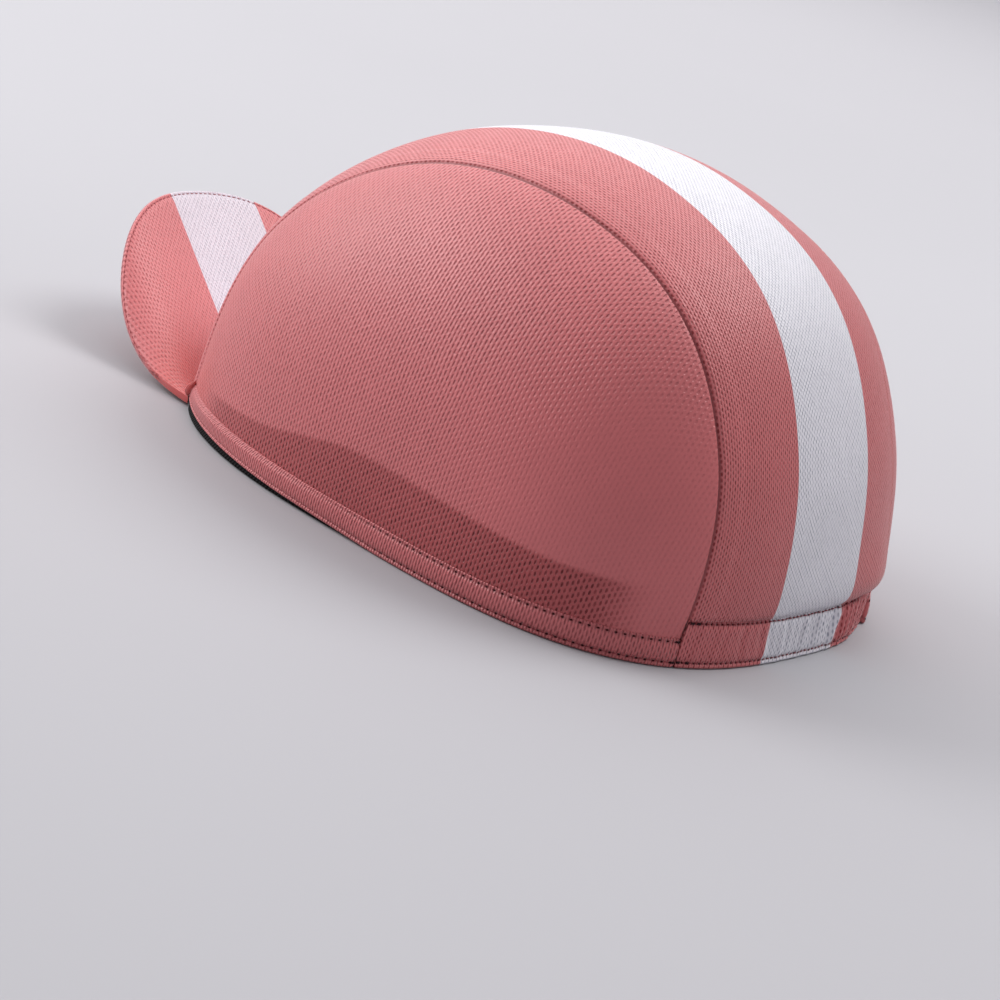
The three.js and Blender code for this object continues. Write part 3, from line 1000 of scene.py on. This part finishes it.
# The casing's section, once round, with how far each row of it follows the gathers.
CASING_FOLD = (
    dict(inset=1.0, up=0.0, gathered=0.0),
    dict(inset=0.1, up=0.01, gathered=0.1),
    dict(inset=-0.3, up=0.05, gathered=0.3),
    dict(inset=-0.2, up=0.1, gathered=0.3),
    dict(inset=0.15, up=0.125, gathered=0.3),
    dict(inset=-0.3, up=0.19, gathered=0.7),
    dict(inset=-0.4, up=0.32, gathered=1.0),
    dict(inset=-0.4, up=0.46, gathered=1.0),
    dict(inset=-0.4, up=0.6, gathered=1.0),
    dict(inset=-0.4, up=0.74, gathered=1.0),
    dict(inset=-0.3, up=0.86, gathered=0.8),
    dict(inset=0.2, up=0.94, gathered=0.4),
    dict(inset=0.3, up=1.0, gathered=0.2),
    dict(inset=1.2, up=1.02, gathered=0.0),
    dict(inset=2.2, up=0.96, gathered=0.0),
    dict(inset=2.2, up=0.5, gathered=0.0),
    dict(inset=2.1, up=0.05, gathered=0.0),
)
# The gathers: their depth in millimetres from the right seam to the left one, and their waves.
GATHERS = (
    dict(share=-1.0, depth=0.3),
    dict(share=-0.75, depth=1.0),
    dict(share=-0.45, depth=0.9),
    dict(share=-0.1, depth=0.5),
    dict(share=0.25, depth=0.35),
    dict(share=0.6, depth=0.15),
    dict(share=1.0, depth=0.1),
)
GATHER_WAVES = (
    dict(height=0.5, length=3.1 * MM, start=0.0),
    dict(height=0.5, length=5.3 * MM, start=1.3),
    dict(height=0.4, length=8.9 * MM, start=0.4),
)
GATHER_LEAN = 1.2 * MM
LEAN_TURNS = dict(up=2.6, across=5)
CASING_ROW_INSET = 0.1 * MM
CASING_ROW_GATHERED = 0.35
CASING_STEPS = 260
KNOT_LEANS = (-0.5, 0.1, 0.6)
KNOT_LENGTH = 1.3 * MM
KNOT_WIDTH = THREAD_WIDTH * 1.3
KNOT_SCATTER = 0.3 * MM
KNOT_PROUD = 0.1 * MM
KNOT_INWARD = 1 * MM
SECOND_KNOT_INWARD = 3.2 * MM
KNOT_DARK = srgb(58, 18, 24)
KNOT_BLACK = srgb(34, 8, 12)

gather_at = smooth_table(GATHERS, "share", "depth")


def casing_line(share, height, inset):
    """A place on the casing, from -1 at its right seam to 1 at its left one."""
    half = 180 - seam_bearing(round(height, 5), True)
    return at_level(180 - share * half, height, inset)


casing_width = 2 * (180 - seam_bearing(0, True)) / 180 * math.pi * REAR_REACH


def gather(share, up):
    """How far the cloth stands out of the casing's plain form."""
    swing = math.sin(up * LEAN_TURNS["up"] + share * LEAN_TURNS["across"])
    lean = share * casing_width / 2 + GATHER_LEAN * swing
    waves = sum(
        wave["height"] * math.sin(2 * math.pi * lean / wave["length"] + wave["start"])
        for wave in GATHER_WAVES
    )
    return gather_at(share) * MM * waves


def drawn_in(share):
    """How far the elastic pulls the casing in towards its right end."""
    return CASING_DRAWN_IN * smooth_step(*DRAWN_IN_SHARES, share)


def casing(u, v):
    fold = loop_row(CASING_FOLD, v)
    share = 2 * u - 1
    inset = fold["inset"] * MM - fold["gathered"] * gather(share, fold["up"]) + drawn_in(share)
    point = casing_line(share, CASING_HEIGHT * min(fold["up"], 1.0), inset)
    stripe = STRIPE_HALF - abs(point.x) / widening(point.y - FAN.y)
    flat = (share * casing_width / 2, fold["up"] * CASING_HEIGHT)
    return point, flat, {"stripe": stripe}


casing_knit = knit_material("casing_knit", wale=0.75 * MM, course=1.9 * MM, contrast=0.9,
                            relief=0.25 * MM,
                            stitch_rows=(CASING_LOWER_ROW, CASING_UPPER_ROW),
                            pitch=CASING_PITCH, marks=("stripe",))
piece = cloth_piece("rear_casing_cloth", CASING_STEPS, len(CASING_FOLD), casing, casing_knit,
                    rounds=1)
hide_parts("rear_casing")


def casing_row(height):
    """A stitch row along the casing from its left seam to its right one. The thread lies flatter
    than the gathers."""

    def surface(walked):
        share = max(1 - 2 * walked / casing_width, -1.0)
        out = CASING_ROW_GATHERED * gather(share, height / CASING_HEIGHT)
        point = casing_line(share, height, CASING_ROW_INSET - out + drawn_in(share))
        return point, level_outward(point)

    return surface, casing_width


def knot_piece(name, spots):
    """Back stitches in dark thread, three short crossing lengths on each spot."""
    random.seed(4)
    bm = bmesh.new()
    for place, outward in spots:
        sideways = outward.cross(Vector((0, 0, 1))).normalized()
        for lean in KNOT_LEANS:
            run = (sideways * math.cos(lean) + Vector((0, 0, math.sin(lean)))) * KNOT_LENGTH / 2
            aside = random.uniform(-1, 1) * KNOT_SCATTER
            middle = place + sideways * aside + outward * KNOT_PROUD
            add_stitch(bm, middle - run, middle + run, outward, KNOT_WIDTH)
    thread_piece(name, bm, thread_material("knot_thread", KNOT_DARK, KNOT_BLACK))


stitch_piece("casing_stitches", [casing_row(CASING_LOWER_ROW), casing_row(CASING_UPPER_ROW)],
             CASING_PITCH)
knots = []
for side in (1, -1):
    for height in (HEM_LOWER_ROW, HEM_UPPER_ROW):
        surface, length = hem_row(height, side)
        knots.append(surface(length - KNOT_INWARD))
    for height in (CASING_LOWER_ROW, CASING_UPPER_ROW):
        surface, length = casing_row(height)
        for walked in (KNOT_INWARD, SECOND_KNOT_INWARD):
            knots.append(surface(walked if side == 1 else length - walked))
knot_piece("seam_end_knots", knots)


# Peak: two layers of knit over a thin stiffener, turned up in front of the crown, with the stripe
# running on over it. It is sewn round close to its rolled edge, and a small tuck of its cloth
# stands out of the seam at each end.
PEAK_DEPTH = 61.4 * MM
# The root sits at half the full thickness, and the turned-up part is pressed thinner.
PEAK_THICKNESS = 3.2 * MM
PEAK_SHOWN_THICKNESS = 2.2 * MM
PEAK_SQUARENESS = 2.23
PEAK_LEAN = 38
PEAK_END_LEAN = 2
PEAK_CURL = 4.6
PEAK_STRIPE_HALF = 17 * MM
PEAK_END = 0.9995
PEAK_END_THICKNESS = 0.3
# The rolled edge: millimetres inward from it, and shares of the thickness there.
PEAK_EDGE = (
    dict(inward=0.0, thick=0.0),
    dict(inward=0.1, thick=0.45),
    dict(inward=0.35, thick=0.75),
    dict(inward=0.7, thick=0.8),
    dict(inward=1.0, thick=0.7),
    dict(inward=1.2, thick=0.62),
    dict(inward=1.5, thick=0.72),
    dict(inward=2.4, thick=0.94),
    dict(inward=3.4, thick=1.0),
)
PEAK_ROOT_ROWS = 22
PEAK_STATIONS = 150
STATION_STEP = 0.002
PEAK_ROW = 1.2 * MM
PEAK_ROW_RISE = 0.31
PEAK_ROW_END = 0.985
PEAK_ROW_STEPS = 180
PEAK_PITCH = 1.9 * MM
PEAK_STRIPE_DRIFT = -4.8 * MM
PEAK_WHITE = srgb(213, 201, 210)
# The peak is painted a deeper red towards its root near each end, and each tuck all over: painted
# shade from the crown, with the red light that bounces between the cloth there.
PEAK_GLOW = 0.8
PEAK_GLOW_REACH = (24 * MM, 2 * MM)
PEAK_GLOW_SIDES = (0.4, 0.8)


def peak_line(share):
    """The root, the way out and the depth of the peak at a share of its half width."""
    side = abs(share)
    bearing = share * (seam_bearing(0, False) - bearing_step(GAP))
    root = at_level(bearing, PEAK_THICKNESS / 2 + GAP, -GAP)
    lean = math.radians(PEAK_LEAN + (PEAK_END_LEAN - PEAK_LEAN) * side**PEAK_CURL)
    depth = PEAK_DEPTH * (1 - side**PEAK_SQUARENESS) ** (1 / PEAK_SQUARENESS)
    return root, Vector((0, -math.cos(lean), math.sin(lean))), depth


@functools.cache
def peak_station(share):
    """The peak's line at a share, with the way up out of its top face."""
    root, run, depth = peak_line(share)
    near, far = peak_line(share - STATION_STEP), peak_line(min(share + STATION_STEP, 1.0))
    across = far[0] + far[1] * depth / 2 - near[0] - near[1] * depth / 2
    return root, run, depth, run.cross(across).normalized()


def peak_profile():
    """Rows round the peak's section, as the share of the depth, the length inward from the edge
    and the share of half the thickness, over the top from the root and back below."""
    top = [(i / PEAK_ROOT_ROWS, 0.0, 1.0) for i in range(PEAK_ROOT_ROWS)]
    edge = [(1.0, row["inward"] * MM, row["thick"]) for row in reversed(PEAK_EDGE)]
    below = [(share, inward, -thick) for share, inward, thick in reversed(top + edge[:-1])]
    return top + edge + below


PEAK_ROWS = peak_profile()
EDGE_REACH = PEAK_EDGE[-1]["inward"] * MM


def peak(u, v):
    share = PEAK_END * math.sin((2 * u - 1) * math.pi / 2)
    root, run, depth, upward = peak_station(round(share, 7))
    part, inward, thick = loop_row(PEAK_ROWS, v)
    squeeze = min(depth / (2 * EDGE_REACH), 1.0)
    if part < 1:
        reach = (depth - EDGE_REACH * squeeze) * part
    else:
        reach = depth - inward * squeeze
    half = PEAK_SHOWN_THICKNESS / 2 * (PEAK_END_THICKNESS + (1 - PEAK_END_THICKNESS) * squeeze)
    point = root + run * reach + upward * thick * half
    middle = PEAK_STRIPE_DRIFT * reach / PEAK_DEPTH
    glow = smooth_step(*PEAK_GLOW_REACH, reach) * smooth_step(*PEAK_GLOW_SIDES, abs(share))
    marks = {"stripe": PEAK_STRIPE_HALF - abs(point.x - middle), "glow": PEAK_GLOW * glow}
    return point, (root.x, reach if thick > 0 else -reach), marks


peak_knit = knit_material("peak_knit", wale=0.95 * MM, course=2.0 * MM, relief=0.2 * MM,
                          contrast=0.32, white=PEAK_WHITE, marks=("stripe", "glow"))
piece = cloth_piece("peak_cloth", PEAK_STATIONS, len(PEAK_ROWS), peak, peak_knit)
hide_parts("peak")


def peak_row_place(share):
    """A place on the stitch row close inside the peak's edge, with the way out of it."""
    root, run, depth, upward = peak_station(round(share, 7))
    inward = PEAK_ROW * min(depth / (2 * EDGE_REACH), 1.0)
    place = root + run * (depth - inward) + upward * PEAK_SHOWN_THICKNESS * PEAK_ROW_RISE
    return place, upward


def peak_row():
    """The stitch row round the peak from its right end to its left one."""
    turns = [(2 * i / PEAK_ROW_STEPS - 1) * math.pi / 2 for i in range(PEAK_ROW_STEPS + 1)]
    shares = [PEAK_ROW_END * math.sin(turn) for turn in turns]
    rows = walk(lambda share: peak_row_place(share)[0], shares)
    share_at = smooth_table(rows, "length", "value")
    return lambda length: peak_row_place(share_at(length)), rows[-1]["length"]


stitch_piece("peak_stitches", [peak_row()], PEAK_PITCH)


TUCK_FOOT = dict(past_seam=-1.0, height=3.0 * MM, inset=-0.9 * MM)
TUCK_TOP = dict(past_seam=0.8, height=8.8 * MM, inset=-0.4 * MM)
TUCK_SIZE = 1.3 * MM
TUCK_GIRTH = 6 * MM
TUCK_WIDTH = 0.6
TUCK_PROUD = 0.2
TUCK_BLUNTNESS = 0.7
TUCK_STEPS = 16
TUCK_SIDES = 12

tuck_foot, tuck_top = (
    at_level(FRONT_BEARING + end["past_seam"], end["height"], end["inset"])
    for end in (TUCK_FOOT, TUCK_TOP)
)


def tuck(u, v):
    """A slim fold of cloth, thickest half way up and narrower than it is deep."""
    rise = tuck_top - tuck_foot
    middle = tuck_foot.lerp(tuck_top, u)
    outward = level_outward(middle)
    sideways = outward.cross(rise).normalized()
    reach = TUCK_SIZE * math.sin(math.pi * u) ** TUCK_BLUNTNESS
    angle = 2 * math.pi * v
    point = middle + outward * reach * (math.cos(angle) + TUCK_PROUD)
    point += sideways * reach * TUCK_WIDTH * math.sin(angle)
    # The tuck is painted deeper red all over, as painted shade and bounced red light at the peak's
    # root.
    return point, (TUCK_GIRTH * v, u * rise.length), {"stripe": -FAR_OFF, "glow": PEAK_GLOW}


for name, place in (("left_tuck", tuck), ("right_tuck", flipped(tuck))):
    piece = cloth_piece(name, TUCK_STEPS, TUCK_SIDES, place, peak_knit)


# Sweatband: a ribbed black elastic band inside the hems and the front, with both ends short of
# the rear seams.
BAND_THICKNESS = 1.4 * MM
BAND_INSET = HEM_THICKNESS - HEM_PROUD + GAP
# The band's section, once round, in shares of its thickness and height.
BAND_EDGE = (
    dict(depth=0.5, up=0.0),
    dict(depth=0.0, up=0.02),
    dict(depth=0.0, up=0.08),
    dict(depth=0.0, up=0.14),
    dict(depth=0.0, up=0.35),
    dict(depth=0.0, up=0.7),
    dict(depth=0.0, up=0.98),
    dict(depth=0.5, up=1.0),
    dict(depth=1.0, up=0.98),
    dict(depth=1.0, up=0.7),
    dict(depth=1.0, up=0.35),
    dict(depth=1.0, up=0.14),
    dict(depth=1.0, up=0.08),
    dict(depth=1.0, up=0.02),
)
BAND_STEPS = 260
BAND_RIB = 1.3 * MM
BAND_FUZZ = 0.4
BAND_RELIEF = 0.3 * MM
BAND_ROUGHNESS = 0.85
BAND_BLACK = srgb(10, 10, 11)
BAND_GREY = srgb(30, 29, 32)
BAND_PEEK = 2.0 * MM
PEEK_HEIGHTS = (3 * MM, 1 * MM)
PEEK_BLEND = 3

band_bearing, band_length = even_bearings(-BAND_END, BAND_END, BAND_HEIGHT / 2)


def sweatband(u, v):
    """The band, its foot pushed out where the hem is lifted off it."""
    edge = loop_row(BAND_EDGE, v)
    height = edge["up"] * BAND_HEIGHT
    bearing = band_bearing(u * band_length)
    past_seam = abs(bearing) - FRONT_BEARING
    lifted = hem_lift(past_seam / (REAR_BEARING - FRONT_BEARING))
    peek = smooth_step(0, HEM_FRONT_LIFT / 3, lifted) * smooth_step(*PEEK_HEIGHTS, height)
    peek *= smooth_step(-PEEK_BLEND, 0, past_seam)
    inset = BAND_INSET + edge["depth"] * BAND_THICKNESS - BAND_PEEK * peek
    return at_level(bearing, height, inset), (u * band_length, height), {}


band_material, nodes = new_material("sweatband_rib")
cloth = nodes.add("ShaderNodeUVMap", {"uv_map": "cloth"}).outputs[0]
at = nodes.add("ShaderNodeSeparateXYZ", Vector=cloth).outputs
rib = nodes.math("SINE", nodes.math("MULTIPLY", at["X"], 2 * math.pi / BAND_RIB))
rib = nodes.math("MULTIPLY_ADD", rib, 0.5, 0.5)
fuzz = nodes.add("ShaderNodeTexNoise", Vector=cloth, Scale=FUZZ_SCALE).outputs[0]
height = nodes.math("MULTIPLY_ADD", fuzz, BAND_FUZZ, rib)
normal = nodes.add("ShaderNodeBump", Strength=0.8, Distance=BAND_RELIEF, Height=height).outputs[0]
tone = nodes.mix(nodes.math("MULTIPLY", rib, fuzz), BAND_BLACK, BAND_GREY)
shaded(nodes, tone, BAND_ROUGHNESS, normal, Sheen_Weight=0.03, Specular_IOR_Level=0.15)
piece = cloth_piece("sweatband_cloth", BAND_STEPS, len(BAND_EDGE), sweatband, band_material)
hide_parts("sweatband")
